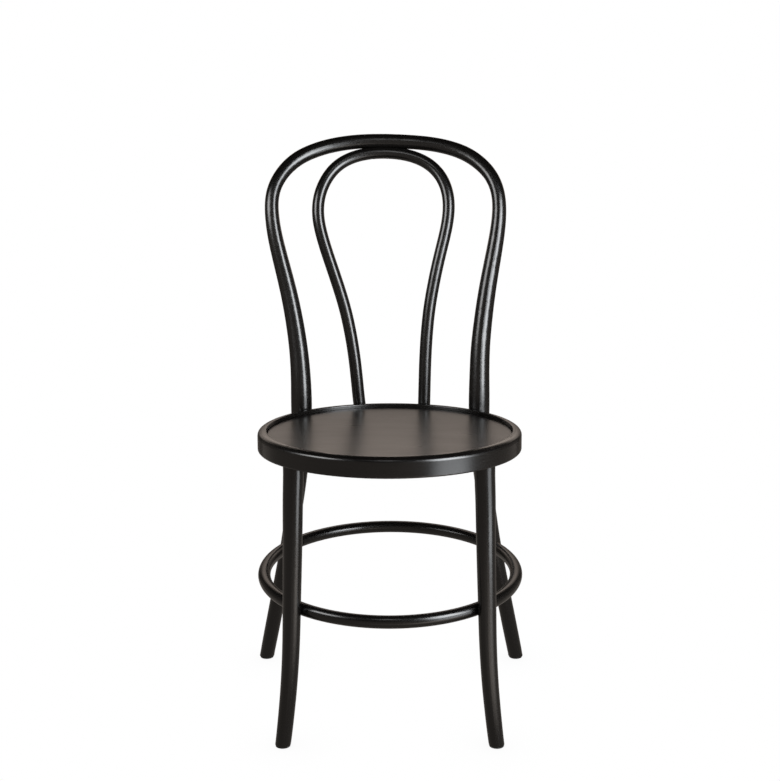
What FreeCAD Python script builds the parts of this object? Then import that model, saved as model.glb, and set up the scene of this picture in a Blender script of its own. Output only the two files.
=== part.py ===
import FreeCAD, Part
import Sketcher
import math
import os

from FreeCAD import Placement, Rotation, Vector

# A bentwood side chair, in millimetres: floor at z = 0, front towards -Y, +Z up.
# The seat ring and the stretcher ring are bent hoops, the two rear legs and the outer back
# are one bent stick, and a smaller bent loop fills the back.

doc = FreeCAD.newDocument("chair")
sheet = doc.addObject("Spreadsheet::Sheet", "Sheet")
cells = [0]


class Size:
    """A number with the sheet expression that gives it."""

    def __init__(self, text, value):
        self.text = text
        self.value = float(value)

    def join(self, other, sign, value, swap=False):
        o = other if isinstance(other, Size) else Size("%.6g" % other, other)
        a, b = (o, self) if swap else (self, o)
        return Size("(%s %s %s)" % (a.text, sign, b.text), value(a.value, b.value))

    def __add__(self, o):
        return self.join(o, "+", lambda a, b: a + b)

    def __radd__(self, o):
        return self.join(o, "+", lambda a, b: a + b, True)

    def __sub__(self, o):
        return self.join(o, "-", lambda a, b: a - b)

    def __rsub__(self, o):
        return self.join(o, "-", lambda a, b: a - b, True)

    def __mul__(self, o):
        return self.join(o, "*", lambda a, b: a * b)

    def __rmul__(self, o):
        return self.join(o, "*", lambda a, b: a * b, True)

    def __truediv__(self, o):
        return self.join(o, "/", lambda a, b: a / b)

    def __neg__(self):
        return Size("(0 - %s)" % self.text, -self.value)

    def __float__(self):
        return self.value


def val(x):
    return float(x)


def par(name, value):
    """One named cell of the sheet."""
    cells[0] += 1
    sheet.set("A%d" % cells[0], name)
    sheet.set("B%d" % cells[0], "%.6g" % value)
    sheet.setAlias("B%d" % cells[0], name)
    return Size("Sheet." + name, value)


# ---------------------------------------------------------------- seat
# The pieces are drawn about the seat's centre, and every one stands back by this much,
# so that the origin is the centre of the whole chair's outline on the floor.
shift_y = par("frame_shift_y", -44.55)
seat_height = par("seat_height", 460.0)
seat_tilt = par("seat_tilt_deg", 1.88)
ring_R = par("ring_outer_radius", 205.0)
ring_in = par("ring_inner_radius", 168.0)
ring_depth = par("ring_depth", 31.0)
ring_crest = par("ring_crest_height", 0.3)
ring_crown = par("ring_crown_radius", 14.5)
ring_shoulder = par("ring_shoulder_radius", 6.5)
ring_blend_s = par("ring_blend_sine", 0.615661)
ring_blend_c = par("ring_blend_cosine", 0.788011)
ring_round_b = par("ring_bottom_outer_round", 3.0)
ring_round_i = par("ring_top_inner_round", 1.8)
rabbet_R = par("rabbet_radius", 190.6)
rabbet_depth = par("rabbet_depth", 13.4)
panel_R = par("panel_radius", 190.0)
panel_thick = par("panel_thickness", 7.4)
panel_round = par("panel_edge_round", 1.0)
# ---------------------------------------------------------------- stretcher ring
str_R = par("stretcher_radius", 202.1)
str_r = par("stretcher_tube_radius", 9.9)
str_y = par("stretcher_centre_y", 33.0)
str_z = par("stretcher_centre_z", 214.9)
str_tilt = par("stretcher_tilt_deg", 2.75)
# ---------------------------------------------------------------- joints and fasteners
tenon_r = par("tenon_radius", 10.0)
tenon_len = par("tenon_length", 15.0)
bolt_r = par("bolt_shank_radius", 3.0)
bolt_hole_r = par("bolt_hole_radius", 3.3)
bolt_head_r = par("bolt_head_radius", 8.0)
bolt_head_t = par("bolt_head_height", 3.4)
bolt_seat_r = par("bolt_spotface_radius", 8.6)
bolt_seat = par("bolt_spotface_distance", 233.2)
bolt_axial = par("bolt_depth_below_seat", 22.5)
bolt_tip = par("bolt_tip_distance", 157.5)
washer_r = par("washer_radius", 7.0)
washer_t = par("washer_thickness", 1.5)
nut_r = par("nut_corner_radius", 5.77)
nut_t = par("nut_thickness", 5.0)
screw_r = par("screw_shank_radius", 2.1)
screw_head_r = par("screw_head_radius", 4.2)
screw_rim = par("screw_head_rim", 0.5)
screw_point = par("screw_point_length", 5.0)
socket_r = par("screw_socket_corner_radius", 1.7)
socket_d = par("screw_socket_depth", 1.9)
leg_screw_len = par("leg_screw_length", 30.0)
str_screw_len = par("stretcher_screw_length", 32.0)
hoop_screw_len = par("inner_hoop_screw_length", 38.0)
top_screw_len = par("hoop_joint_screw_length", 32.0)
str_sink = par("stretcher_screw_sink", 0.9)
hoop_sink = par("hoop_screw_sink", 1.0)
joint_gap = par("hoop_joint_from_outer_centre", 10.9)
# ---------------------------------------------------------------- glides
glide_r = par("glide_radius", 11.3)
glide_t = par("glide_thickness", 2.5)
glide_round = par("glide_edge_round", 0.9)
nail_r = par("nail_radius", 1.1)
nail_head_r = par("nail_head_radius", 2.8)
nail_head_t = par("nail_head_thickness", 1.0)
nail_sink = par("nail_head_sink", 0.5)
nail_len = par("nail_length", 16.0)
foot_round = par("foot_edge_round", 0.8)


def stations(prefix, rows):
    """Centre line points and tube radii, as cells."""
    out = []
    for i, (x, y, z, r) in enumerate(rows, 1):
        n = "%s_p%02d" % (prefix, i)
        out.append((par(n + "_x", x), par(n + "_y", y), par(n + "_z", z), par(n + "_rad", r)))
    return out


# Front leg, from the foot to the ring's underside (right-hand leg; the left is its mirror image).
front_leg = stations(
    "leg",
    [
        (162.6, -154.7, 2.5, 11.95),
        (159.7, -152.1, 25.0, 12.15),
        (156.9, -149.3, 50.0, 12.38),
        (153.9, -146.2, 80.0, 12.65),
        (150.8, -142.3, 120.0, 13.01),
        (148.5, -138.2, 165.0, 13.41),
        (147.1, -134.0, 215.0, 13.86),
        (145.7, -130.0, 270.0, 14.33),
        (144.4, -126.0, 330.0, 14.84),
        (143.1, -121.8, 390.0, 15.36),
        (142.0, -118.8, 432.9, 15.70),
    ],
)
# Rear leg below the seat, alike on both sides, from the foot up.
rear_leg = stations(
    "rear",
    [
        (216.5, 195.2, 2.5, 12.55),
        (209.1, 191.2, 40.0, 12.59),
        (201.0, 186.9, 80.0, 12.64),
        (191.9, 182.1, 125.0, 12.68),
        (182.7, 177.3, 170.0, 12.80),
        (173.9, 172.8, 215.0, 12.95),
        (166.3, 169.3, 258.0, 13.75),
        (159.7, 166.3, 300.0, 14.54),
        (153.9, 163.6, 345.0, 15.36),
        (149.7, 161.6, 390.0, 16.15),
        (147.6, 161.2, 430.0, 16.85),
        (147.2, 162.7, 462.0, 17.30),
    ],
)
# The outer back, from the left rear leg over the top to the right one.
outer_back = stations(
    "back",
    [
        (-148.0, 167.7, 501.3, 16.60),
        (-151.0, 175.4, 544.0, 15.60),
        (-157.2, 183.8, 590.0, 14.75),
        (-166.4, 191.7, 638.4, 13.95),
        (-178.4, 198.2, 688.6, 13.15),
        (-189.0, 203.3, 734.8, 12.30),
        (-193.8, 208.7, 770.4, 11.60),
        (-193.6, 214.6, 795.0, 11.30),
        (-189.2, 221.4, 813.6, 11.30),
        (-180.4, 230.0, 830.3, 11.50),
        (-167.3, 240.2, 845.7, 11.80),
        (-150.4, 250.4, 858.4, 12.00),
        (-127.3, 261.0, 868.9, 12.00),
        (-96.1, 271.3, 877.4, 11.95),
        (-59.1, 279.1, 882.4, 11.90),
        (-17.7, 282.7, 883.8, 11.90),
        (29.5, 281.6, 882.3, 11.90),
        (70.7, 276.0, 878.6, 11.90),
        (103.2, 267.9, 871.9, 11.95),
        (128.0, 258.5, 862.5, 12.00),
        (147.3, 248.6, 850.1, 11.85),
        (162.1, 238.8, 835.7, 11.50),
        (171.8, 230.2, 820.3, 11.30),
        (177.7, 222.7, 802.1, 11.30),
        (179.8, 215.7, 778.2, 11.60),
        (177.1, 208.6, 742.9, 12.40),
        (169.4, 201.6, 696.6, 13.40),
        (160.4, 193.7, 645.6, 14.35),
        (153.5, 185.0, 595.3, 15.15),
        (148.9, 175.9, 546.4, 15.95),
        (147.5, 167.6, 500.8, 16.70),
    ],
)
# The inner hoop, from its left end at the ring's back to its right end.
inner_back = stations(
    "inner",
    [
        (-48.1, 205.9, 422.7, 10.39),
        (-52.7, 205.8, 454.4, 10.39),
        (-55.8, 207.3, 486.0, 10.35),
        (-59.0, 209.9, 517.5, 10.31),
        (-63.2, 213.0, 548.8, 10.28),
        (-68.7, 216.3, 580.0, 10.26),
        (-75.7, 219.7, 610.7, 10.24),
        (-84.5, 222.8, 641.2, 10.22),
        (-94.3, 225.7, 671.5, 10.20),
        (-104.2, 228.5, 701.5, 10.18),
        (-113.2, 231.4, 731.8, 10.16),
        (-119.0, 235.5, 762.2, 10.14),
        (-117.6, 242.2, 792.7, 10.11),
        (-106.6, 252.0, 821.5, 10.09),
        (-87.0, 262.7, 844.4, 10.06),
        (-59.7, 271.3, 858.3, 10.03),
        (-28.7, 276.3, 864.1, 10.00),
        (3.3, 277.3, 864.2, 9.98),
        (34.8, 274.2, 859.2, 10.01),
        (63.4, 267.2, 846.9, 10.03),
        (84.9, 257.4, 825.7, 10.05),
        (95.9, 248.0, 797.5, 10.08),
        (97.0, 240.7, 766.8, 10.10),
        (91.9, 235.6, 735.9, 10.12),
        (84.5, 231.5, 705.2, 10.14),
        (77.3, 227.7, 674.5, 10.16),
        (71.1, 224.0, 643.8, 10.18),
        (65.9, 220.3, 612.8, 10.20),
        (62.3, 216.5, 581.5, 10.22),
        (59.9, 213.1, 549.8, 10.24),
        (58.4, 210.0, 518.1, 10.26),
        (57.5, 207.4, 486.3, 10.30),
        (56.8, 205.7, 454.7, 10.34),
        (56.0, 205.0, 423.2, 10.34),
    ],
)


# ---------------------------------------------------------------- helpers
def body(label):
    b = doc.addObject("PartDesign::Body", label)
    b.Label = label
    if hasattr(b, "AllowCompound"):
        b.AllowCompound = True
    b.Placement = Placement(Vector(0, val(shift_y), 0), Rotation())
    b.setExpression("Placement.Base.y", shift_y.text)
    return b


def origin_plane(b, role):
    for f in b.Origin.OriginFeatures:
        if f.Role == role:
            return f
    raise RuntimeError("no plane " + role)


def sketch(b, name, place=None, base=None, role="XY_Plane", angle=None):
    """A sketch on one of the body's own planes, moved by place, its base and angle tied to the sheet."""
    sk = b.newObject("Sketcher::SketchObject", name)
    sk.AttachmentSupport = [(origin_plane(b, role), "")]
    sk.MapMode = "FlatFace"
    sk.AttachmentOffset = place or Placement()
    if base is not None:
        for axis, s in zip("xyz", base):
            if isinstance(s, Size):
                sk.setExpression("AttachmentOffset.Base." + axis, s.text)
    if angle is not None:
        sk.setExpression("AttachmentOffset.Rotation.Angle", angle.text)
    return sk


def fix(sk, kind, *args):
    """Adds a constraint whose last argument is a size."""
    s = args[-1]
    n = sk.addConstraint(Sketcher.Constraint(kind, *args[:-1], val(s)))
    if isinstance(s, Size):
        sk.setExpression("Constraints[%d]" % n, s.text)


def circle(sk, r, x=None, y=None):
    px, py = val(x or 0), val(y or 0)
    g = sk.addGeometry(Part.Circle(Vector(px, py, 0), Vector(0, 0, 1), val(r)), False)
    if x is None and y is None:
        sk.addConstraint(Sketcher.Constraint("Coincident", g, 3, -1, 1))
    else:
        if x is None:
            sk.addConstraint(Sketcher.Constraint("PointOnObject", g, 3, -2))
        else:
            fix(sk, "DistanceX", -1, 1, g, 3, x)
        if y is None:
            sk.addConstraint(Sketcher.Constraint("PointOnObject", g, 3, -1))
        else:
            fix(sk, "DistanceY", -1, 1, g, 3, y)
    fix(sk, "Radius", g, r)
    return g


def profile(sk, pts, arcs=None):
    """A closed outline. pts are (x, y) sizes; arcs maps a side's number to (radius, centre, anticlockwise)."""
    arcs = arcs or {}
    n = len(pts)
    xy = [(val(a), val(b)) for a, b in pts]
    geos, first, last = [], [], []
    for i in range(n):
        (x0, y0), (x1, y1) = xy[i], xy[(i + 1) % n]
        if i in arcs:
            r, (cx, cy), ccw = arcs[i]
            cx, cy = val(cx), val(cy)
            a0, a1 = math.atan2(y0 - cy, x0 - cx), math.atan2(y1 - cy, x1 - cx)
            if not ccw:
                a0, a1 = a1, a0
            while a1 < a0:
                a1 += 2 * math.pi
            c = Part.Circle(Vector(cx, cy, 0), Vector(0, 0, 1), val(r))
            geos.append(sk.addGeometry(Part.ArcOfCircle(c, a0, a1), False))
            first.append(1 if ccw else 2)
            last.append(2 if ccw else 1)
        else:
            geos.append(sk.addGeometry(Part.LineSegment(Vector(x0, y0, 0), Vector(x1, y1, 0)), False))
            first.append(1)
            last.append(2)
    for i in range(n):
        j = (i + 1) % n
        sk.addConstraint(Sketcher.Constraint("Coincident", geos[i], last[i], geos[j], first[j]))
    for i, (a, b) in enumerate(pts):
        if isinstance(a, Size) or abs(a) > 1e-9:
            fix(sk, "DistanceX", -1, 1, geos[i], first[i], a)
        else:
            sk.addConstraint(Sketcher.Constraint("PointOnObject", geos[i], first[i], -2))
        if isinstance(b, Size) or abs(b) > 1e-9:
            fix(sk, "DistanceY", -1, 1, geos[i], first[i], b)
        else:
            sk.addConstraint(Sketcher.Constraint("PointOnObject", geos[i], first[i], -1))
    for i in arcs:
        fix(sk, "Radius", geos[i], arcs[i][0])
    sk.Visibility = False


def revolve(b, name, sk, cut=False):
    """A full turn of the sketch about its own vertical axis."""
    f = b.newObject("PartDesign::Groove" if cut else "PartDesign::Revolution", name)
    f.Profile = sk
    f.ReferenceAxis = (sk, ["V_Axis"])
    f.Angle = 360.0
    return f


def unit(v):
    v = Vector(v)
    v.normalize()
    return v


def frame_place(at, along, across=Vector(1, 0, 0)):
    """A place whose local y runs along a direction."""
    d = unit(along)
    e = Vector(across)
    e = unit(e - d * e.dot(d))
    return Placement(Vector(at), Rotation(e, d, e.cross(d), "YXZ"))


def centre(p):
    return Vector(val(p[0]), val(p[1]), val(p[2]))


def tube(b, name, pts, flat_ends=(None, None), mirror=False, cut=False):
    """A bent, tapering round stick: a loft through circles square to its centre line.
    flat_ends gives the plane of the first and the last circle where it isn't square to the line."""
    sign = -1 if mirror else 1
    line = [Vector(sign * v.x, v.y, v.z) for v in (centre(p) for p in pts)]
    sketches = []
    for i, p in enumerate(pts):
        a, c = line[max(i - 1, 0)], line[min(i + 1, len(line) - 1)]
        if 0 < i < len(line) - 1:
            u, w = line[i] - a, c - line[i]
            t = unit(u * (w.Length / u.Length) + w * (u.Length / w.Length))
        else:
            t = unit(c - a)
        if i == 0 and flat_ends[0] is not None:
            t = unit(flat_ends[0])
        if i == len(line) - 1 and flat_ends[1] is not None:
            t = unit(flat_ends[1])
        # the circle's starting point always faces the front, so that the surface doesn't twist
        front = Vector(0, -1, 0.25)
        e = unit(front - t * front.dot(t))
        place = Placement(line[i], Rotation(e, t.cross(e), t, "ZXY"))
        base = (-p[0] if mirror else p[0], p[1], p[2])
        sk = sketch(b, "%s_section%02d" % (name, i + 1), place, base)
        circle(sk, p[3])
        sk.Visibility = False
        sketches.append(sk)
    loft = b.newObject("PartDesign::SubtractiveLoft" if cut else "PartDesign::AdditiveLoft", name + "_bend")
    loft.Profile = sketches[0]
    loft.Sections = sketches[1:]
    loft.Ruled = False
    loft.Closed = False
    return loft


def ring_sketch(b, name, y, z, tilt, rear_lower):
    """A sketch in the YZ plane whose vertical axis is the axis of a tilted ring."""
    angle = -tilt if rear_lower else tilt
    place = Placement(Vector(val(y), val(z), 0), Rotation(Vector(0, 0, 1), val(angle)))
    return sketch(b, name, place, (y, z), "YZ_Plane", angle)


def seat_sketch(b, name):
    return ring_sketch(b, name, 0, seat_height, seat_tilt, True)


def stretcher_sketch(b, name):
    return ring_sketch(b, name, str_y, str_z, str_tilt, False)


def in_seat(radius, angle, axial):
    """A point by distance from the seat's axis, angle from +X, and height over the ring's top."""
    t, a = math.radians(val(seat_tilt)), math.radians(angle)
    v, w = Vector(0, math.cos(t), -math.sin(t)), Vector(0, math.sin(t), math.cos(t))
    return Vector(0, 0, val(seat_height)) + (Vector(1, 0, 0) * math.cos(a) + v * math.sin(a)) * radius + w * axial


def in_stretcher(radius, angle, axial=0.0):
    t, a = math.radians(val(str_tilt)), math.radians(angle)
    v, w = Vector(0, math.cos(t), math.sin(t)), Vector(0, -math.sin(t), math.cos(t))
    return Vector(0, val(str_y), val(str_z)) + (Vector(1, 0, 0) * math.cos(a) + v * math.sin(a)) * radius + w * axial


def at_height(pts, z):
    """The centre line's point and radius at a height."""
    for p, q in zip(pts, pts[1:]):
        a, b = val(p[2]), val(q[2])
        if a <= z <= b:
            k = (z - a) / (b - a)
            return centre(p) * (1 - k) + centre(q) * k, val(p[3]) * (1 - k) + val(q[3]) * k
    raise RuntimeError("no height %s" % z)


def ring_crown_points():
    """The ring's crowned top outside its crest: three points and the two arcs' centres."""
    R, k, r1, r2, s, c = ring_R, ring_crest, ring_crown, ring_shoulder, ring_blend_s, ring_blend_c
    crest = R - (r1 - r2) * s - r2
    low = k - r1 + (r1 - r2) * c
    return (
        [(crest, k), (crest + r1 * s, k - r1 + r1 * c), (R, low)],
        [(crest, k - r1), (R - r2, low)],
    )


def seat_outline(inner):
    """The ring's outer edges, with its rounds, closed along a line inside it."""
    R, D, u = ring_R, ring_depth, ring_round_b
    (a, b, c), (m, n) = ring_crown_points()
    return (
        [(inner, ring_crest), a, b, c, (R, u - D), (R - u, -D), (inner, -D)],
        {1: (ring_crown, m, False), 2: (ring_shoulder, n, False), 4: (u, (R - u, u - D), False)},
    )


def screw_outline(length, head=0.0):
    """Half of a countersunk screw: the head's face at 0, the point at length, along local y."""
    s, h, rim, pt = screw_r, screw_head_r, screw_rim, screw_point
    return [
        (0.0, 0.0),
        (h, 0.0),
        (h, rim),
        (s, h - s + rim),
        (s, length - pt),
        (0.0, length),
    ]


def screw(b, name, at, along, length, cut=False):
    place = frame_place(at, along, Vector(0, 0, 1) if abs(unit(along).z) < 0.8 else Vector(1, 0, 0))
    sk = sketch(b, name + "_outline", place)
    profile(sk, screw_outline(length))
    return revolve(b, name, sk, cut)


def socket(b, name, at, along):
    """The hexagon socket in a screw's head."""
    s = b.newObject("PartDesign::SubtractivePrism", name)
    s.AttachmentSupport = [(origin_plane(b, "XY_Plane"), "")]
    s.MapMode = "FlatFace"
    s.AttachmentOffset = Placement(Vector(at), Rotation(Vector(0, 0, 1), unit(along)))
    s.Polygon = 6
    s.setExpression("Circumradius", socket_r.text)
    s.setExpression("Height", socket_d.text)
    return s


def bore(b, name, at, along, r, length):
    s = b.newObject("PartDesign::SubtractiveCylinder", name)
    s.AttachmentSupport = [(origin_plane(b, "XY_Plane"), "")]
    s.MapMode = "FlatFace"
    s.AttachmentOffset = Placement(Vector(at), Rotation(Vector(0, 0, 1), unit(along)))
    s.setExpression("Radius", r.text)
    if isinstance(length, Size):
        s.setExpression("Height", length.text)
    else:
        s.Height = length
    return s


def box_cut(b, name, at, along, across, size):
    """Cuts a box that starts at a plane square to along, centred on at."""
    n, e = unit(along), Vector(across)
    e = unit(e - n * e.dot(n))
    f = n.cross(e)
    rot = Rotation(e, f, n, "ZXY")
    s = b.newObject("PartDesign::SubtractiveBox", name)
    s.AttachmentSupport = [(origin_plane(b, "XY_Plane"), "")]
    s.MapMode = "FlatFace"
    s.AttachmentOffset = Placement(Vector(at) - e * (size[0] / 2) - f * (size[1] / 2), rot)
    s.Length, s.Width, s.Height = size
    return s


def edges_near(shape, z, tol=0.05):
    out = []
    for i, e in enumerate(shape.Edges, 1):
        box = e.BoundBox
        if abs(box.ZMin - z) < tol and abs(box.ZMax - z) < tol:
            out.append("Edge%d" % i)
    return out


def round_edges(b, name, z, r):
    doc.recompute()
    tip = b.Tip
    names = edges_near(tip.Shape, z)
    if not names:
        raise RuntimeError("no edge at %s on %s" % (z, b.Label))
    f = b.newObject("PartDesign::Fillet", name)
    f.Base = (tip, names)
    f.setExpression("Radius", r.text)
    doc.recompute()
    if "Invalid" in f.State or f.Shape.isNull() or not f.Shape.isValid():
        raise RuntimeError("fillet %s failed" % name)
    return f


# ---------------------------------------------------------------- places that several pieces share
z_mid = val(seat_height) - 24.0
rear_c, _ = at_height(rear_leg, z_mid)
bolt_angle = math.degrees(math.atan2(rear_c.y, rear_c.x))
BOLTS = [(bolt_angle, "right"), (180.0 - bolt_angle, "left")]

leg_top = centre(front_leg[-1])
leg_angle = math.degrees(math.atan2(leg_top.y, leg_top.x))
LEG_SCREW_AXIAL = -22.5

sf, _ = at_height(front_leg, 206.9)
sr, _ = at_height(rear_leg, 221.6)
front_str = math.degrees(math.atan2(sf.y - val(str_y), sf.x))
rear_str = math.degrees(math.atan2(sr.y - val(str_y), sr.x))
STRETCHER_SCREWS = {
    "front_right": front_str,
    "front_left": -180.0 - front_str,
    "rear_right": rear_str,
    "rear_left": 180.0 - rear_str,
}


def stretcher_screw_pose(angle):
    inner = val(str_R) - val(str_r) + val(str_sink)
    at = in_stretcher(inner, angle)
    return at, in_stretcher(300.0, angle) - at


def leg_screw_pose(side):
    a = leg_angle if side > 0 else -180.0 - leg_angle
    at = in_seat(val(ring_in), a, LEG_SCREW_AXIAL)
    # the ring's inner wall is curved, so the head's face lies a little below it
    out = unit(in_seat(300.0, a, LEG_SCREW_AXIAL) - at)
    return at + out * 0.15, out


def inner_end(right):
    p = inner_back[-1] if right else inner_back[0]
    q = inner_back[-2] if right else inner_back[1]
    z = 437.0
    k = (z - val(p[2])) / (val(q[2]) - val(p[2]))
    return centre(p) * (1 - k) + centre(q) * k


def hoop_screw_pose(right):
    c = inner_end(right)
    t = math.radians(val(seat_tilt))
    w = Vector(0, math.sin(t), math.cos(t))
    rel = c - Vector(0, 0, val(seat_height))
    axial = rel.dot(w)
    flat = rel - w * axial
    out = unit(flat)
    at = c + out * (10.38 - val(hoop_sink))
    return at, -out


# the plane where the two hoops meet at the top
p_out = [centre(p) for p in outer_back]
top = p_out[15]
top_t = unit(p_out[16] - p_out[14])
hoop_n = Vector(0, 0.29, 0.957)
top_n = unit(hoop_n - top_t * hoop_n.dot(top_t))
top_at = top - top_n * val(joint_gap)


def top_screw_pose(side):
    at = top_at + top_t * (side * 13.0)
    # the head lies just inside the inner hoop's underside
    low = at - top_n * (20.0 - 0.95 - 0.6)
    return low + Vector(0, 0, 0), top_n


# ---------------------------------------------------------------- seat ring
b = body("seat_ring")
sk = seat_sketch(b, "ring_outline")
R, D, k, u, i2 = ring_R, ring_depth, ring_crest, ring_round_b, ring_round_i
(crown_a, crown_b, crown_c), (crown_m, crown_n) = ring_crown_points()
profile(
    sk,
    [
        (ring_in + 2.0, -D),
        (R - u, -D),
        (R, u - D),
        crown_c,
        crown_b,
        crown_a,
        (rabbet_R + i2, k),
        (rabbet_R, k - i2),
        (rabbet_R, -rabbet_depth),
        (ring_in + 1.0, -rabbet_depth),
        (ring_in, -rabbet_depth - 1.0),
        (ring_in, 2.0 - D),
    ],
    {
        1: (u, (R - u, u - D), True),
        3: (ring_shoulder, crown_n, True),
        4: (ring_crown, crown_m, True),
        6: (i2, (rabbet_R + i2, k - i2), True),
        9: (Size("1 * 1", 1.0), (ring_in + 1.0, -rabbet_depth - 1.0), True),
        11: (Size("2 * 1", 2.0), (ring_in + 2.0, 2.0 - D), True),
    },
)
revolve(b, "ring_turned", sk)
for side in (1, -1):
    a = leg_angle if side > 0 else -180.0 - leg_angle
    tag = "right" if side > 0 else "left"
    r0 = math.hypot(leg_top.x, leg_top.y)
    rel = (leg_top - Vector(0, 0, val(seat_height)))
    tt = math.radians(val(seat_tilt))
    radial = math.hypot(leg_top.x, rel.dot(Vector(0, math.cos(tt), -math.sin(tt))))
    at = in_seat(radial, a, -val(ring_depth) - 1.0)
    up = in_seat(radial, a, 0.0) - at
    bore(b, "mortise_" + tag, at, up, tenon_r, tenon_len + 1.0)
    at, out = leg_screw_pose(side)
    screw(b, "leg_screw_hole_" + tag, at - out * 0.0, out, leg_screw_len, True)
    bore(b, "leg_screw_mouth_" + tag, at - out * 3.0, out, screw_head_r, Size("3 * 1", 3.0))
for a, tag in BOLTS:
    at = in_seat(val(ring_in) - 5.0, a, -val(bolt_axial))
    out = in_seat(300.0, a, -val(bolt_axial)) - at
    bore(b, "bolt_hole_" + tag, at, out, bolt_hole_r, Size("60 * 1", 60.0))
    # a small flat inside the ring for the washer
    bore(b, "washer_flat_" + tag, at, out, washer_r + 1.0, Size("5 * 1 + 0.8", 5.8))
for right, tag in ((True, "right"), (False, "left")):
    at, d = hoop_screw_pose(right)
    screw(b, "hoop_screw_hole_" + tag, at, d, hoop_screw_len, True)

# ---------------------------------------------------------------- seat panel
b = body("seat_panel")
sk = seat_sketch(b, "panel_outline")
low = -rabbet_depth
high = panel_thick - rabbet_depth
profile(
    sk,
    [(0.0, low), (panel_R, low), (panel_R, high - panel_round), (panel_R - panel_round, high), (0.0, high)],
    {2: (panel_round, (panel_R - panel_round, high - panel_round), True)},
)
revolve(b, "panel_turned", sk)

# ---------------------------------------------------------------- outer back and rear legs
b = body("back_hoop")
left = [(-p[0], p[1], p[2], p[3]) for p in rear_leg]
right = list(reversed(rear_leg))
hoop_stations = left + outer_back + right
tube(b, "hoop", hoop_stations, (Vector(0, 0, 1), Vector(0, 0, -1)))
sk = seat_sketch(b, "ring_seat_outline")
pts, arcs = seat_outline(ring_in)
profile(sk, pts, arcs)
revolve(b, "ring_seat", sk, True)
sk = stretcher_sketch(b, "stretcher_seat_outline")
circle(sk, str_r, str_R, None)
revolve(b, "stretcher_seat", sk, True)
for a, tag in BOLTS:
    at = in_seat(val(ring_R) - 3.0, a, -val(bolt_axial))
    out = in_seat(300.0, a, -val(bolt_axial)) - at
    bore(b, "bolt_hole_" + tag, at, out, bolt_hole_r, Size("60 * 1", 60.0))
    at = in_seat(val(bolt_seat), a, -val(bolt_axial))
    bore(b, "bolt_spotface_" + tag, at, out, bolt_seat_r, Size("12 * 1", 12.0))
for key in ("rear_right", "rear_left"):
    at, d = stretcher_screw_pose(STRETCHER_SCREWS[key])
    screw(b, "stretcher_screw_hole_" + key, at, d, str_screw_len, True)
for side, tag in ((1, "right"), (-1, "left")):
    at, d = top_screw_pose(side)
    screw(b, "joint_screw_hole_" + tag, at, d, top_screw_len, True)
for p, s, tag in ((rear_leg[0], -1, "left"), (rear_leg[0], 1, "right")):
    c = Vector(s * val(p[0]), val(p[1]), val(p[2]))
    bore(b, "nail_hole_" + tag, c, Vector(0, 0, 1), nail_r, nail_len - (glide_t - nail_sink))
round_edges(b, "foot_round", val(glide_t), foot_round)

# ---------------------------------------------------------------- inner hoop
b = body("inner_hoop")
tilt_w = Vector(0, math.sin(math.radians(val(seat_tilt))), math.cos(math.radians(val(seat_tilt))))
tube(b, "inner", inner_back, (tilt_w, -tilt_w))
sk = seat_sketch(b, "inner_ring_seat_outline")
pts, arcs = seat_outline(ring_in)
profile(sk, pts, arcs)
revolve(b, "inner_ring_seat", sk, True)
# the top is coped to the round of the outer hoop
tube(b, "cope", hoop_stations, (Vector(0, 0, 1), Vector(0, 0, -1)), cut=True)
for rt, tag in ((True, "right"), (False, "left")):
    at, d = hoop_screw_pose(rt)
    screw(b, "end_screw_hole_" + tag, at, d, hoop_screw_len, True)
    bore(b, "end_screw_mouth_" + tag, at, -d, screw_head_r, Size("5 * 1", 5.0))
for side, tag in ((1, "right"), (-1, "left")):
    at, d = top_screw_pose(side)
    screw(b, "joint_screw_hole_in_" + tag, at, d, top_screw_len, True)
    bore(b, "joint_screw_mouth_" + tag, at, -d, screw_head_r, Size("5 * 1", 5.0))

# ---------------------------------------------------------------- front legs
for side, tag in ((-1, "left"), (1, "right")):
    b = body("front_leg_" + tag)
    tube(b, "leg", front_leg, (Vector(0, 0, 1), tilt_w), mirror=side < 0)
    a = leg_angle if side > 0 else -180.0 - leg_angle
    # everything above the ring's underside goes, then the tenon is added
    c = Vector(side * leg_top.x, leg_top.y, leg_top.z)
    rel = c - Vector(0, 0, val(seat_height))
    tt = math.radians(val(seat_tilt))
    radial = math.hypot(c.x, rel.dot(Vector(0, math.cos(tt), -math.sin(tt))))
    foot = in_seat(radial, a, -val(ring_depth))
    box_cut(b, "shoulder", foot, tilt_w, Vector(1, 0, 0), (60.0, 60.0, 10.0))
    place = Placement(foot - tilt_w * 2.0, Rotation(Vector(0, 0, 1), tilt_w))
    sk = sketch(b, "tenon_outline", place)
    circle(sk, tenon_r)
    pad = b.newObject("PartDesign::Pad", "tenon")
    pad.Profile = sk
    pad.setExpression("Length", (tenon_len + 2.0).text)
    sk = stretcher_sketch(b, "stretcher_seat_outline")
    circle(sk, str_r, str_R, None)
    revolve(b, "stretcher_seat", sk, True)
    at, out = leg_screw_pose(side)
    screw(b, "leg_screw_hole", at, out, leg_screw_len, True)
    key = "front_" + tag
    at, d = stretcher_screw_pose(STRETCHER_SCREWS[key])
    screw(b, "stretcher_screw_hole", at, d, str_screw_len, True)
    p = front_leg[0]
    c = Vector(side * val(p[0]), val(p[1]), val(p[2]))
    bore(b, "nail_hole", c, Vector(0, 0, 1), nail_r, nail_len - (glide_t - nail_sink))
    round_edges(b, "foot_round", val(glide_t), foot_round)

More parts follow.
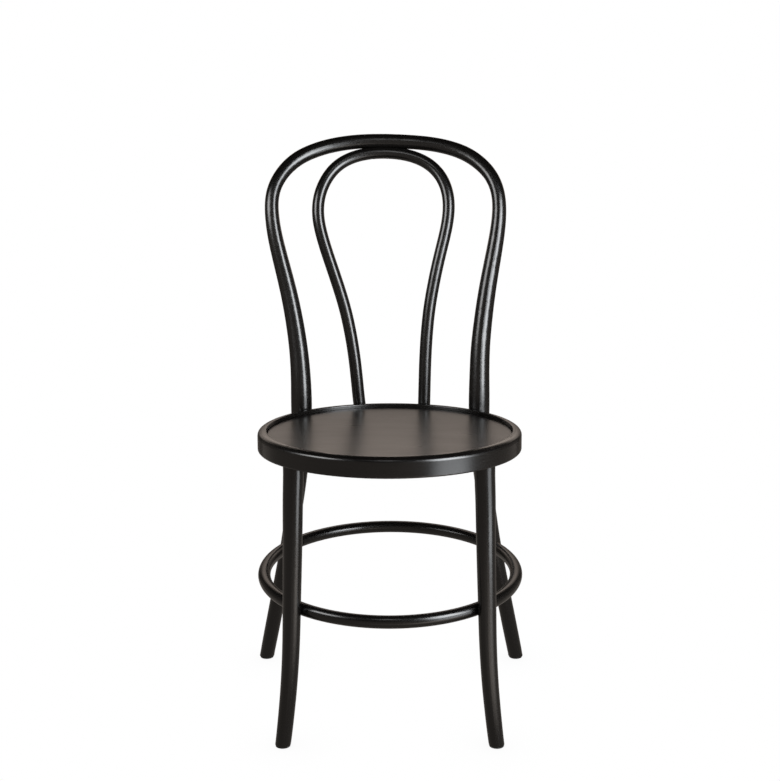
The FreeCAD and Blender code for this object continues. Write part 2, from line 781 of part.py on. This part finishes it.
# ---------------------------------------------------------------- stretcher ring
b = body("stretcher_ring")
sk = stretcher_sketch(b, "stretcher_outline")
circle(sk, str_r, str_R, None)
revolve(b, "stretcher_turned", sk)
for key, angle in STRETCHER_SCREWS.items():
    at, d = stretcher_screw_pose(angle)
    screw(b, "screw_hole_" + key, at, d, str_screw_len, True)
    bore(b, "screw_mouth_" + key, at, -d, screw_head_r, Size("4 * 1", 4.0))

# ---------------------------------------------------------------- rear leg bolts, washers, nuts
bb, bw, bn = body("rear_leg_bolts"), body("rear_leg_washers"), body("rear_leg_nuts")
for a, tag in BOLTS:
    at = in_seat(val(bolt_seat), a, -val(bolt_axial))
    inn = in_seat(100.0, a, -val(bolt_axial)) - at
    sk = sketch(bb, "bolt_outline_" + tag, frame_place(at, inn, Vector(0, 0, 1)))
    dome = (bolt_head_r * bolt_head_r + bolt_head_t * bolt_head_t) / (2.0 * bolt_head_t)
    length = bolt_seat - bolt_tip
    profile(
        sk,
        [(0.0, -bolt_head_t), (bolt_head_r, 0.0), (bolt_r, 0.0), (bolt_r, length - 0.8), (bolt_r - 0.8, length), (0.0, length)],
        {0: (dome, (0.0, dome - bolt_head_t), True)},
    )
    revolve(bb, "bolt_" + tag, sk)
    flat = val(ring_in) + 0.8
    at = in_seat(flat, a, -val(bolt_axial))
    inn = in_seat(100.0, a, -val(bolt_axial)) - at
    sk = sketch(bw, "washer_outline_" + tag, frame_place(at, inn, Vector(0, 0, 1)))
    profile(sk, [(bolt_r, 0.0), (washer_r, 0.0), (washer_r, washer_t), (bolt_r, washer_t)])
    revolve(bw, "washer_" + tag, sk)
    at = in_seat(flat - val(washer_t), a, -val(bolt_axial))
    nut = bn.newObject("PartDesign::AdditivePrism", "nut_" + tag)
    nut.AttachmentSupport = [(origin_plane(bn, "XY_Plane"), "")]
    nut.MapMode = "FlatFace"
    nut.AttachmentOffset = Placement(at, Rotation(Vector(0, 0, 1), unit(inn)))
    nut.Polygon = 6
    nut.setExpression("Circumradius", nut_r.text)
    nut.setExpression("Height", nut_t.text)
for a, tag in BOLTS:
    at = in_seat(val(ring_in) + 2.0, a, -val(bolt_axial))
    inn = in_seat(100.0, a, -val(bolt_axial)) - at
    bore(bn, "nut_bore_" + tag, at, inn, bolt_r, Size("12 * 1", 12.0))

# ---------------------------------------------------------------- screws
b = body("front_leg_screws")
for side, tag in ((1, "right"), (-1, "left")):
    at, out = leg_screw_pose(side)
    screw(b, "screw_" + tag, at, out, leg_screw_len)
for side, tag in ((1, "right"), (-1, "left")):
    at, out = leg_screw_pose(side)
    socket(b, "socket_" + tag, at, out)

b = body("stretcher_screws")
for key, angle in STRETCHER_SCREWS.items():
    at, d = stretcher_screw_pose(angle)
    screw(b, "screw_" + key, at, d, str_screw_len)
for key, angle in STRETCHER_SCREWS.items():
    at, d = stretcher_screw_pose(angle)
    socket(b, "socket_" + key, at, d)

b = body("inner_hoop_screws")
for rt, tag in ((True, "right"), (False, "left")):
    at, d = hoop_screw_pose(rt)
    screw(b, "screw_" + tag, at, d, hoop_screw_len)
for rt, tag in ((True, "right"), (False, "left")):
    at, d = hoop_screw_pose(rt)
    socket(b, "socket_" + tag, at, d)

b = body("hoop_joint_screws")
for side, tag in ((1, "right"), (-1, "left")):
    at, d = top_screw_pose(side)
    screw(b, "screw_" + tag, at, d, top_screw_len)
for side, tag in ((1, "right"), (-1, "left")):
    at, d = top_screw_pose(side)
    socket(b, "socket_" + tag, at, d)

# ---------------------------------------------------------------- glides and their nails
FEET = {
    "front_left": (front_leg[0], -1),
    "front_right": (front_leg[0], 1),
    "rear_left": (rear_leg[0], -1),
    "rear_right": (rear_leg[0], 1),
}
nails = body("glide_nails")
for key, (p, s) in FEET.items():
    px = -p[0] if s < 0 else p[0]
    at = Vector(val(px), val(p[1]), 0)
    b = body("glide_" + key)
    sk = sketch(b, "glide_outline", frame_place(at, Vector(0, 0, 1)), (px, p[1]))
    g = glide_round
    profile(
        sk,
        [
            (nail_r, nail_sink + nail_head_t),
            (nail_head_r, nail_sink + nail_head_t),
            (nail_head_r, 0.0),
            (glide_r - g, 0.0),
            (glide_r, g),
            (glide_r, glide_t),
            (nail_r, glide_t),
        ],
        {3: (g, (glide_r - g, g), True)},
    )
    revolve(b, "glide_turned", sk)
    sk = sketch(nails, "nail_outline_" + key, frame_place(at, Vector(0, 0, 1)), (px, p[1]))
    profile(
        sk,
        [
            (0.0, nail_sink),
            (nail_head_r, nail_sink),
            (nail_head_r, nail_sink + nail_head_t),
            (nail_r, nail_sink + nail_head_t),
            (nail_r, nail_len - 2.0),
            (0.0, nail_len),
        ],
    )
    revolve(nails, "nail_" + key, sk)

doc.recompute()

# ---------------------------------------------------------------- checks and files
os.makedirs("parts", exist_ok=True)
bad = []
for o in doc.Objects:
    if "Invalid" in o.State or "Error" in o.State:
        bad.append((o.Name, o.State))
names = []
for b in doc.Objects:
    if b.TypeId != "PartDesign::Body":
        continue
    s = b.Shape
    if s.isNull() or not s.isValid() or not s.Solids:
        bad.append((b.Label, "bad shape"))
        continue
    box = s.BoundBox
    print(
        "%-20s solids %d faces %3d vol %10.1f  x %.1f..%.1f y %.1f..%.1f z %.1f..%.1f"
        % (b.Label, len(s.Solids), len(s.Faces), s.Volume, box.XMin, box.XMax, box.YMin, box.YMax, box.ZMin, box.ZMax)
    )
    names.append(b.Label)
for item in bad:
    print("PROBLEM", item)
if bad:
    raise RuntimeError("not written: %d problems" % len(bad))
for b in doc.Objects:
    if b.TypeId == "PartDesign::Body":
        b.Shape.exportStep("parts/%s.step" % b.Label)
print("written", len(names), "nodes")
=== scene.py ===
import math

import bpy
import numpy as np
from mathutils import Matrix, Vector


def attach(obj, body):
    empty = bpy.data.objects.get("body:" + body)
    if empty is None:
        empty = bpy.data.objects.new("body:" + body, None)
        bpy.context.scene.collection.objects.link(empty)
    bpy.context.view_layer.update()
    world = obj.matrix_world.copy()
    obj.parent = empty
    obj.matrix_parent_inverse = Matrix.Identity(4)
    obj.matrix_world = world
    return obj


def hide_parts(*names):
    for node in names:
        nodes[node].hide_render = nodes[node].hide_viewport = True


# A black bentwood side chair in a plain bright studio.
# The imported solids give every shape. Each wooden piece is a copy of its solid's mesh that also
# carries the place of every point in the straight stick it was bent from, so that the grain
# under the lacquer runs along the bend.

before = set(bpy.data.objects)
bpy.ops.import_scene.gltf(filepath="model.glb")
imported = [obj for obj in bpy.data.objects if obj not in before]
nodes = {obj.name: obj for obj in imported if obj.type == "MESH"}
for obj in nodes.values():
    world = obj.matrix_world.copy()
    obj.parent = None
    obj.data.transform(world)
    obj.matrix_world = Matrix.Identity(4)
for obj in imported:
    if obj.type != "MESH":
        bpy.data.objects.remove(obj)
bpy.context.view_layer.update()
scene = bpy.context.scene

SHIFT = -0.04455          # the seat's centre stands this far in front of the origin
SEAT_H, SEAT_TILT = 0.460, math.radians(1.88)
STR_Y, STR_Z, STR_R, STR_TILT = 0.033, 0.2149, 0.2021, math.radians(2.75)

# ------------------------------------------------------------------ centre lines, mm about the seat's centre
LEG = [
    (162.6, -154.7, 2.5), (159.7, -152.1, 25.0), (156.9, -149.3, 50.0), (153.9, -146.2, 80.0),
    (150.8, -142.3, 120.0), (148.5, -138.2, 165.0), (147.1, -134.0, 215.0), (145.7, -130.0, 270.0),
    (144.4, -126.0, 330.0), (143.1, -121.8, 390.0), (142.0, -118.8, 432.9),
]
REAR = [
    (216.5, 195.2, 2.5), (209.1, 191.2, 40.0), (201.0, 186.9, 80.0), (191.9, 182.1, 125.0),
    (182.7, 177.3, 170.0), (173.9, 172.8, 215.0), (166.3, 169.3, 258.0), (159.7, 166.3, 300.0),
    (153.9, 163.6, 345.0), (149.7, 161.6, 390.0), (147.6, 161.2, 430.0), (147.2, 162.7, 462.0),
]
OUTER = [
    (-148.0, 167.7, 501.3), (-151.0, 175.4, 544.0), (-157.2, 183.8, 590.0), (-166.4, 191.7, 638.4),
    (-178.4, 198.2, 688.6), (-189.0, 203.3, 734.8), (-193.8, 208.7, 770.4), (-193.6, 214.6, 795.0),
    (-189.2, 221.4, 813.6), (-180.4, 230.0, 830.3), (-167.3, 240.2, 845.7), (-150.4, 250.4, 858.4),
    (-127.3, 261.0, 868.9), (-96.1, 271.3, 877.4), (-59.1, 279.1, 882.4), (-17.7, 282.7, 883.8),
    (29.5, 281.6, 882.3), (70.7, 276.0, 878.6), (103.2, 267.9, 871.9), (128.0, 258.5, 862.5),
    (147.3, 248.6, 850.1), (162.1, 238.8, 835.7), (171.8, 230.2, 820.3), (177.7, 222.7, 802.1),
    (179.8, 215.7, 778.2), (177.1, 208.6, 742.9), (169.4, 201.6, 696.6), (160.4, 193.7, 645.6),
    (153.5, 185.0, 595.3), (148.9, 175.9, 546.4), (147.5, 167.6, 500.8),
]
INNER = [
    (-48.1, 205.9, 422.7), (-52.7, 205.8, 454.4), (-55.8, 207.3, 486.0), (-59.0, 209.9, 517.5),
    (-63.2, 213.0, 548.8), (-68.7, 216.3, 580.0), (-75.7, 219.7, 610.7), (-84.5, 222.8, 641.2),
    (-94.3, 225.7, 671.5), (-104.2, 228.5, 701.5), (-113.2, 231.4, 731.8), (-119.0, 235.5, 762.2),
    (-117.6, 242.2, 792.7), (-106.6, 252.0, 821.5), (-87.0, 262.7, 844.4), (-59.7, 271.3, 858.3),
    (-28.7, 276.3, 864.1), (3.3, 277.3, 864.2), (34.8, 274.2, 859.2), (63.4, 267.2, 846.9),
    (84.9, 257.4, 825.7), (95.9, 248.0, 797.5), (97.0, 240.7, 766.8), (91.9, 235.6, 735.9),
    (84.5, 231.5, 705.2), (77.3, 227.7, 674.5), (71.1, 224.0, 643.8), (65.9, 220.3, 612.8),
    (62.3, 216.5, 581.5), (59.9, 213.1, 549.8), (58.4, 210.0, 518.1), (57.5, 207.4, 486.3),
    (56.8, 205.7, 454.7), (56.0, 205.0, 423.2),
]
REAR_LEFT = [(-x, y, z) for x, y, z in REAR]


def smooth_line(points, per=12):
    """A Catmull-Rom line through points given in mm about the seat, as metres in the frame."""
    p = np.array(points, float) / 1000.0 + np.array([0.0, SHIFT, 0.0])
    p = np.vstack([2 * p[0] - p[1], p, 2 * p[-1] - p[-2]])
    out = []
    for i in range(1, len(p) - 2):
        a, b, c, d = p[i - 1], p[i], p[i + 1], p[i + 2]
        for k in range(per):
            t = k / per
            out.append(0.5 * (2 * b + (c - a) * t + (2 * a - 5 * b + 4 * c - d) * t * t + (3 * b - a - 3 * c + d) * t ** 3))
    out.append(p[-2])
    return np.array(out)


def ring_line(radius, centre, tilt, start, turns=360):
    """A closed circle about a tilted axis, from the angle start once round."""
    a = start + np.linspace(0, 2 * math.pi, turns + 1)
    v = np.array([0, math.cos(tilt), math.sin(tilt)])
    return np.array(centre) + np.outer(np.cos(a) * radius, [1, 0, 0]) + np.outer(np.sin(a) * radius, v)


def straightened(co, line, closed=False):
    """For each point: distance along the line, and its two offsets from it in a frame that doesn't twist."""
    seg = np.diff(line, axis=0)
    length = np.linalg.norm(seg, axis=1)
    along = np.concatenate([[0], np.cumsum(length)])
    tang = seg / length[:, None]
    e = np.zeros_like(tang)
    ref = np.array([0.0, -1.0, 0.25])
    e[0] = ref - tang[0] * ref.dot(tang[0])
    e[0] /= np.linalg.norm(e[0])
    for i in range(1, len(tang)):
        v = e[i - 1] - tang[i] * e[i - 1].dot(tang[i])
        e[i] = v / np.linalg.norm(v)
    f = np.cross(tang, e)
    out = np.zeros((len(co), 3), np.float32)
    for lo in range(0, len(co), 4000):
        c = co[lo:lo + 4000]
        rel = c[:, None, :] - line[None, :-1, :]
        t = np.einsum("ijk,jk->ij", rel, tang)
        t = np.clip(t, 0, length[None, :])
        near = np.linalg.norm(rel - t[:, :, None] * tang[None], axis=2).argmin(1)
        n = np.arange(len(c))
        d = rel[n, near] - t[n, near][:, None] * tang[near]
        out[lo:lo + 4000, 0] = along[near] + t[n, near]
        out[lo:lo + 4000, 1] = np.einsum("ij,ij->i", d, e[near])
        out[lo:lo + 4000, 2] = np.einsum("ij,ij->i", d, f[near])
    return out


def wooden(node, label, line):
    """A visible piece of a CAD node's exact shape, with the straightened place of each point."""
    src = nodes[node]
    mesh = src.data.copy()
    mesh.name = label
    piece = bpy.data.objects.new(label, mesh)
    scene.collection.objects.link(piece)
    co = np.zeros(len(mesh.vertices) * 3, np.float32)
    mesh.vertices.foreach_get("co", co)
    co = co.reshape(-1, 3).astype(float)
    stick = straightened(co, line)
    at = mesh.attributes.new("stick", "FLOAT_VECTOR", "POINT")
    at.data.foreach_set("vector", stick.astype(np.float32).ravel())
    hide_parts(node)
    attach(piece, "root")
    return piece


# ------------------------------------------------------------------ materials
def material(name):
    m = bpy.data.materials.new(name)
    m.use_nodes = True
    m.node_tree.nodes.clear()
    return m


class Nodes:
    """Short names for building a node tree."""

    def __init__(self, mat):
        self.t = mat.node_tree

    def add(self, kind, **props):
        n = self.t.nodes.new(kind)
        for k, v in props.items():
            setattr(n, k, v)
        return n

    def put(self, socket, value):
        if isinstance(value, bpy.types.NodeSocket):
            self.t.links.new(value, socket)
        elif value is not None:
            socket.default_value = value

    def math(self, op, a, b=None, c=None, clamp=False):
        n = self.add("ShaderNodeMath", operation=op, use_clamp=clamp)
        for i, v in enumerate((a, b, c)):
            self.put(n.inputs[i], v)
        return n.outputs[0]

    def scaled(self, vector, xyz, shift=(0, 0, 0)):
        n = self.add("ShaderNodeMapping")
        n.inputs["Scale"].default_value = xyz
        n.inputs["Location"].default_value = shift
        self.put(n.inputs["Vector"], vector)
        return n.outputs[0]

    def noise(self, vector, scale=1.0, detail=4.0, rough=0.55, distort=0.0):
        n = self.add("ShaderNodeTexNoise")
        self.put(n.inputs["Vector"], vector)
        n.inputs["Scale"].default_value = scale
        n.inputs["Detail"].default_value = detail
        n.inputs["Roughness"].default_value = rough
        n.inputs["Distortion"].default_value = distort
        return n.outputs["Fac"]

    def remap(self, value, a, b, c=0.0, d=1.0, smooth=False):
        n = self.add("ShaderNodeMapRange")
        if smooth:
            n.interpolation_type = "SMOOTHSTEP"
        self.put(n.inputs["Value"], value)
        for k, v in zip(("From Min", "From Max", "To Min", "To Max"), (a, b, c, d)):
            n.inputs[k].default_value = v
        return n.outputs[0]

    def mix(self, fac, a, b):
        n = self.add("ShaderNodeMix", data_type="RGBA")
        self.put(n.inputs[0], fac)
        self.put(n.inputs[6], a)
        self.put(n.inputs[7], b)
        return n.outputs[2]

    def bump(self, height, strength, distance, normal=None):
        n = self.add("ShaderNodeBump")
        n.inputs["Strength"].default_value = strength
        n.inputs["Distance"].default_value = distance
        self.put(n.inputs["Height"], height)
        if normal is not None:
            self.put(n.inputs["Normal"], normal)
        return n.outputs[0]


def lacquered(name, base=(0.0015, 0.0013, 0.0012), light=(0.0028, 0.0024, 0.0022), rough=0.24, relief=1.0, vector="stick"):
    """Satin black lacquer over close-grained wood. vector is the attribute that runs along the grain."""
    m = material(name)
    g = Nodes(m)
    src = g.add("ShaderNodeAttribute", attribute_type="GEOMETRY", attribute_name=vector).outputs["Vector"]
    # growth rings: long, very low ridges along the piece
    rings = g.noise(g.scaled(src, (2.2, 95.0, 95.0)), 1.0, 3.0, 0.5, 0.4)
    # the fibres: fine lines, about 0.7 mm across and several cm long
    fibre = g.noise(g.scaled(src, (18.0, 1300.0, 1300.0), (3, 1, 7)), 1.0, 3.0, 0.55)
    # short ray flecks and pores, about 2 mm long
    fleck = g.noise(g.scaled(src, (380.0, 3000.0, 3000.0), (11, 5, 2)), 1.0, 2.0, 0.5)
    fleck = g.remap(fleck, 0.62, 0.74)
    # the sprayed lacquer's own slight orange peel, and wide changes of sheen from handling
    peel = g.noise(g.scaled(src, (260.0, 260.0, 260.0), (5, 9, 4)), 1.0, 2.0, 0.45)
    cloud = g.noise(g.scaled(src, (9.0, 26.0, 26.0), (1, 4, 8)), 1.0, 3.0, 0.55)
    # rubbed corners: the lacquer is thinner and smoother where the surface bends sharply
    edge = g.remap(g.add("ShaderNodeNewGeometry").outputs["Pointiness"], 0.56, 0.68)
    rub = g.math("MULTIPLY", edge, g.remap(cloud, 0.42, 0.62))
    tone = g.math("MULTIPLY_ADD", rings, 0.55, g.math("MULTIPLY", fibre, 0.45))
    tone = g.remap(tone, 0.36, 0.66)
    colour = g.mix(tone, (*base, 1), (*light, 1))
    colour = g.mix(g.math("MULTIPLY", fleck, 0.5), colour, (base[0] * 0.5, base[1] * 0.5, base[2] * 0.5, 1))
    colour = g.mix(g.math("MULTIPLY", rub, 0.6), colour, (light[0] * 3.0, light[1] * 2.6, light[2] * 2.2, 1))
    r = g.math("MULTIPLY_ADD", g.remap(cloud, 0.3, 0.7, -1.0, 1.0), 0.022, rough)
    r = g.math("MULTIPLY_ADD", g.remap(fibre, 0.3, 0.7, -1.0, 1.0), 0.014, r)
    r = g.math("MULTIPLY_ADD", fleck, 0.03, r)
    r = g.math("MULTIPLY_ADD", rub, -0.05, r)
    height = g.math("MULTIPLY_ADD", rings, 0.8, g.math("MULTIPLY", fibre, 0.05))
    height = g.math("MULTIPLY_ADD", fleck, -0.03, height)
    n1 = g.bump(height, 0.05 * relief, 0.00018)
    n2 = g.bump(peel, 0.03, 0.00010, n1)
    b = g.add("ShaderNodeBsdfPrincipled")
    g.put(b.inputs["Base Color"], colour)
    g.put(b.inputs["Roughness"], r)
    g.put(b.inputs["Normal"], n2)
    b.inputs["IOR"].default_value = 1.5
    b.inputs["Coat Weight"].default_value = 0.0
    out = g.add("ShaderNodeOutputMaterial")
    g.put(out.inputs["Surface"], b.outputs[0])
    return m


def blackened_steel(name):
    m = material(name)
    g = Nodes(m)
    src = g.add("ShaderNodeTexCoord").outputs["Object"]
    grain = g.noise(g.scaled(src, (900, 900, 900)), 1.0, 4.0, 0.6)
    patch = g.noise(g.scaled(src, (140, 140, 140), (2, 5, 1)), 1.0, 3.0, 0.6)
    colour = g.mix(g.remap(patch, 0.4, 0.65), (0.030, 0.030, 0.032, 1), (0.065, 0.063, 0.060, 1))
    colour = g.mix(g.remap(grain, 0.66, 0.74), colour, (0.19, 0.185, 0.175, 1))
    b = g.add("ShaderNodeBsdfPrincipled")
    g.put(b.inputs["Base Color"], colour)
    b.inputs["Metallic"].default_value = 0.9
    g.put(b.inputs["Roughness"], g.remap(grain, 0.3, 0.7, 0.36, 0.52))
    g.put(b.inputs["Normal"], g.bump(grain, 0.25, 0.00006))
    out = g.add("ShaderNodeOutputMaterial")
    g.put(out.inputs["Surface"], b.outputs[0])
    return m


def moulded_plastic(name):
    m = material(name)
    g = Nodes(m)
    src = g.add("ShaderNodeTexCoord").outputs["Object"]
    spark = g.noise(g.scaled(src, (2600, 2600, 2600)), 1.0, 2.0, 0.5)
    scuff = g.noise(g.scaled(src, (160, 900, 160), (4, 2, 6)), 1.0, 3.0, 0.6)
    colour = g.mix(g.remap(scuff, 0.5, 0.72), (0.014, 0.014, 0.0145, 1), (0.035, 0.034, 0.033, 1))
    b = g.add("ShaderNodeBsdfPrincipled")
    g.put(b.inputs["Base Color"], colour)
    g.put(b.inputs["Roughness"], g.remap(scuff, 0.3, 0.75, 0.5, 0.68))
    g.put(b.inputs["Normal"], g.bump(spark, 0.35, 0.00008))
    out = g.add("ShaderNodeOutputMaterial")
    g.put(out.inputs["Surface"], b.outputs[0])
    return m


wood = lacquered("satin_lacquered_wood")
panel_mat = lacquered("satin_lacquered_ply", base=(0.0021, 0.0019, 0.0017), light=(0.0038, 0.0032, 0.0029), rough=0.30, relief=0.45)
steel = blackened_steel("blackened_steel")
plastic = moulded_plastic("moulded_plastic")

# ------------------------------------------------------------------ wooden pieces
hoop_line = smooth_line(REAR_LEFT + OUTER + list(reversed(REAR)), 8)
inner_line = smooth_line(INNER, 10)
leg_r = smooth_line([(142.0, -118.8, 455.0)][:0] + LEG + [(141.5, -117.4, 452.0)], 12)
leg_l = leg_r * np.array([-1, 1, 1])
seat_c = (0.0, SHIFT, SEAT_H - 0.0155)
ring_l = ring_line(0.1865, seat_c, -SEAT_TILT, math.radians(105))
str_l = ring_line(STR_R, (0.0, STR_Y + SHIFT, STR_Z), STR_TILT, math.radians(78))

hoop = wooden("back_hoop", "back_hoop_bentwood", hoop_line)
inner = wooden("inner_hoop", "inner_hoop_bentwood", inner_line)
leg_right = wooden("front_leg_right", "front_leg_right_turned", leg_r)
leg_left = wooden("front_leg_left", "front_leg_left_turned", leg_l)
ring = wooden("seat_ring", "seat_ring_bentwood", ring_l)
stretcher = wooden("stretcher_ring", "stretcher_ring_bentwood", str_l)
# the panel's veneer runs straight across the seat, from side to side
panel = wooden("seat_panel", "seat_panel_veneered", np.array([[-0.25, SHIFT, SEAT_H], [0.25, SHIFT, SEAT_H]]))

for piece in (hoop, inner, leg_right, leg_left, ring, stretcher):
    piece.data.materials.clear()
    piece.data.materials.append(wood)
panel.data.materials.clear()
panel.data.materials.append(panel_mat)
for n, o in nodes.items():
    kind = plastic if n.startswith("glide_") and n != "glide_nails" else steel
    if not o.hide_render:
        for s in o.material_slots:
            s.material = kind

# ------------------------------------------------------------------ floor and studio
floor_mesh = bpy.data.meshes.new("floor")
S = 14.0
floor_mesh.from_pydata([(-S, -S, 0), (S, -S, 0), (S, S, 0), (-S, S, 0)], [], [(0, 1, 2, 3)])
floor = bpy.data.objects.new("floor", floor_mesh)
scene.collection.objects.link(floor)
floor.location.z = -0.0004
m = material("floor_paper_painted_shadow")
g = Nodes(m)
# painted contact shadow: the floor only glows and is not lit by the lamps; its glow is made up to a tenth
# darker where the chair stands close, by ambient occlusion
near = g.add("ShaderNodeAmbientOcclusion", samples=8)
near.inputs["Distance"].default_value = 0.10
e = g.add("ShaderNodeEmission")
e.inputs["Color"].default_value = (1, 1, 1, 1)
g.put(e.inputs["Strength"], g.remap(near.outputs["AO"], 0.0, 1.0, 0.90, 1.0))
out = g.add("ShaderNodeOutputMaterial")
g.put(out.inputs["Surface"], e.outputs[0])
floor_mesh.materials.append(m)
floor.visible_glossy = False
floor.visible_diffuse = False
floor.visible_transmission = False
floor.visible_shadow = False

# what the lacquer sees of the floor: dim by itself, brighter where the right softbox lights it
glow_mesh = bpy.data.meshes.new("floor_glow")
Q = 1.6
glow_mesh.from_pydata([(-Q, -Q, 0), (Q, -Q, 0), (Q, Q, 0), (-Q, Q, 0)], [], [(0, 1, 2, 3)])
floor_glow = bpy.data.objects.new("floor_glow", glow_mesh)
scene.collection.objects.link(floor_glow)
floor_glow.location.z = -0.0008
m = material("floor_light")
g = Nodes(m)
place = g.add("ShaderNodeTexCoord").outputs["Object"]


def pool(x, y, inner, outer):
    """1 near a spot on the floor, falling smoothly to 0 at the outer radius."""
    n = g.add("ShaderNodeVectorMath", operation="DISTANCE")
    g.put(n.inputs[0], place)
    n.inputs[1].default_value = (x, y, 0)
    return g.remap(n.outputs["Value"], outer, inner, smooth=True)


level = g.math("MULTIPLY_ADD", pool(0.56, -0.74, 0.10, 0.55), 2.3, 0.30)
level = g.math("MULTIPLY_ADD", pool(0.10, -0.95, 0.1, 0.6), 0.35, level)
e = g.add("ShaderNodeEmission")
e.inputs["Color"].default_value = (1.0, 0.90, 0.81, 1)
g.put(e.inputs["Strength"], level)
out = g.add("ShaderNodeOutputMaterial")
g.put(out.inputs["Surface"], e.outputs[0])
glow_mesh.materials.append(m)
floor_glow.visible_camera = False
floor_glow.visible_shadow = False


def direction(az, el):
    """az from the front of the chair towards the viewer's right, el over the horizon, in degrees."""
    a, e = math.radians(az), math.radians(el)
    return Vector((math.sin(a) * math.cos(e), -math.cos(a) * math.cos(e), math.sin(e)))


def glowing_card(name, az, out, z, width, height, glare, soft=0.25, colour=(1, 1, 1), tilt=0.0, rise=None):
    """An upright card that faces the chair's axis and glows, with soft borders. glare is its brightness;
    rise gives heights in m and the part of the glare that the card has there."""
    mesh = bpy.data.meshes.new(name)
    w, h = width / 2, height / 2
    mesh.from_pydata([(-w, -h, 0), (w, -h, 0), (w, h, 0), (-w, h, 0)], [], [(0, 1, 2, 3)])
    o = bpy.data.objects.new(name, mesh)
    o.location = direction(az, 0) * out + Vector((0, 0, z))
    o.rotation_euler = (-direction(az, tilt)).to_track_quat("-Z", "Y").to_euler()
    scene.collection.objects.link(o)
    m = material(name + "_light")
    g = Nodes(m)
    sep = g.add("ShaderNodeSeparateXYZ")
    g.put(sep.inputs[0], g.add("ShaderNodeTexCoord").outputs["Generated"])
    x, y = sep.outputs["X"], sep.outputs["Y"]
    edge = None
    for c in (x, y):
        if rise is not None and c == y:
            continue
        for a, b in ((0.0, soft), (1.0, 1.0 - soft)):
            e = g.remap(c, a, b, smooth=True)
            edge = e if edge is None else g.math("MULTIPLY", edge, e)
    if rise is not None:
        ramp = g.add("ShaderNodeValToRGB")
        g.put(ramp.inputs[0], y)
        ramp.color_ramp.interpolation = "EASE"
        spots = ramp.color_ramp.elements
        for i, (at, part) in enumerate(rise):
            k = (at - (z - h)) / height
            spot = spots[i] if i < 2 else spots.new(k)
            spot.position = k
            spot.color = (part, part, part, 1)
        edge = g.math("MULTIPLY", edge, ramp.outputs[0])
    e = g.add("ShaderNodeEmission")
    e.inputs["Color"].default_value = (*colour, 1)
    g.put(e.inputs["Strength"], g.math("MULTIPLY", edge, glare))
    out_node = g.add("ShaderNodeOutputMaterial")
    g.put(out_node.inputs["Surface"], e.outputs[0])
    mesh.materials.append(m)
    o.visible_camera = False
    o.visible_shadow = False
    return o


glowing_card("softbox_right", 48, 1.05, 0.76, 0.78, 1.42, 19.0, 0.32, (0.94, 0.97, 1.0),
             rise=[(0.06, 0.0), (1.46, 0.0), (0.12, 0.40), (0.20, 0.34), (0.28, 0.15), (0.42, 0.18), (0.58, 0.90), (1.12, 1.0), (1.28, 0.7)])
glowing_card("softbox_left", -63, 1.10, 1.13, 0.95, 0.80, 10.0, 0.32)
glowing_card("softbox_over_camera", -3, 1.05, 1.88, 0.50, 0.60, 4.0, 0.35, tilt=35)
glowing_card("rear_wall", 180, 1.10, 0.66, 2.2, 1.28, 1.0, 0.30, (1.0, 0.86, 0.76),
             rise=[(0.02, 0.20), (1.25, 0.0), (0.50, 0.22), (0.64, 0.34), (0.78, 0.95), (0.90, 1.75), (1.02, 1.6), (1.12, 0.3)])

# ------------------------------------------------------------------ surroundings
world = bpy.data.worlds.new("studio")
scene.world = world
world.use_nodes = True
wt = world.node_tree
wt.nodes.clear()


class WorldNodes(Nodes):
    def __init__(self, tree):
        self.t = tree


g = WorldNodes(wt)
coord = g.add("ShaderNodeTexCoord").outputs["Generated"]


def glow(az, el, inner_deg, outer_deg):
    """1 within inner_deg of a direction, falling smoothly to 0 at outer_deg."""
    n = g.add("ShaderNodeVectorMath", operation="DOT_PRODUCT")
    g.put(n.inputs[0], coord)
    n.inputs[1].default_value = direction(az, el)
    return g.remap(n.outputs["Value"], math.cos(math.radians(outer_deg)), math.cos(math.radians(inner_deg)), smooth=True)


sep = g.add("ShaderNodeSeparateXYZ")
g.put(sep.inputs[0], coord)
z = sep.outputs["Z"]
band = g.remap(z, math.sin(math.radians(32)), math.sin(math.radians(8)), smooth=True)
front = g.remap(sep.outputs["Y"], 0.5, -0.2, 0.45, 1.0, smooth=True)
level = g.math("MULTIPLY_ADD", g.math("MULTIPLY", band, front), 0.26, 0.02)
bg = g.add("ShaderNodeBackground")
bg.inputs["Color"].default_value = (1.0, 0.885, 0.79, 1)
g.put(bg.inputs["Strength"], level)
seen = g.add("ShaderNodeBackground")
seen.inputs["Color"].default_value = (1, 1, 1, 1)
seen.inputs["Strength"].default_value = 1.0
path = g.add("ShaderNodeLightPath")
mix = g.add("ShaderNodeMixShader")
g.put(mix.inputs[0], path.outputs["Is Camera Ray"])
g.put(mix.inputs[1], bg.outputs[0])
g.put(mix.inputs[2], seen.outputs[0])
wo = g.add("ShaderNodeOutputWorld")
g.put(wo.inputs["Surface"], mix.outputs[0])

scene.view_settings.view_transform = "Standard"
scene.view_settings.look = "None"

# ------------------------------------------------------------------ camera
cam_data = bpy.data.cameras.new("camera")
cam_data.sensor_fit = "AUTO"
cam_data.sensor_width = 36.0
cam_data.lens = 71.1287
cam = bpy.data.objects.new("camera", cam_data)
scene.collection.objects.link(cam)
right = Vector((0.99997126, 0.00695628, -0.00301643))
down = Vector((-0.0014135, -0.21982787, -0.97553765))
ahead = Vector((-0.0074492, 0.97551387, -0.21981171))
cam.matrix_world = Matrix((
    (right.x, -down.x, -ahead.x, 0.01862254),
    (right.y, -down.y, -ahead.y, -2.37231741),
    (right.z, -down.z, -ahead.z, 1.04408225),
    (0, 0, 0, 1),
))
scene.camera = cam
